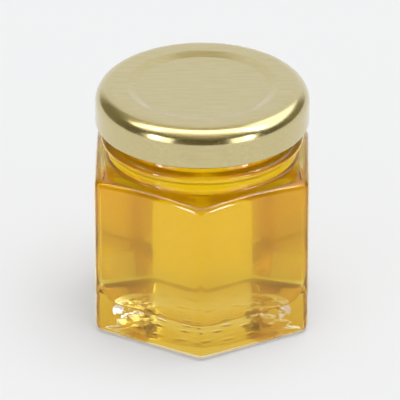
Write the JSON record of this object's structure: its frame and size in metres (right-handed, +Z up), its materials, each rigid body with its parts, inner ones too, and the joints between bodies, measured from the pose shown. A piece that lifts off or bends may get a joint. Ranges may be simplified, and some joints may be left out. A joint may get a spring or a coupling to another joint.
{
  "type": "honey jar",
  "caption": "Small six-sided clear glass jar filled with golden honey and closed with a gold twist-off cap that has a sunken round panel.",
  "frame": {"origin": "centre of the base, on the surface the jar stands on", "axes": "+Z up along the axis of the neck and cap; one upright corner of the body faces -Y and one pair of flats faces +X and -X"},
  "size_m": [0.046, 0.0522, 0.0534],
  "materials": {
    "glass": "clear pressed glass, glossy",
    "honey": "clear golden liquid honey",
    "cap": "satin gold-lacquered tinplate"
  },
  "bodies": {
    "root": {"jar": "glass", "honey": "honey", "cap": "cap"}
  },
  "joints": []
}
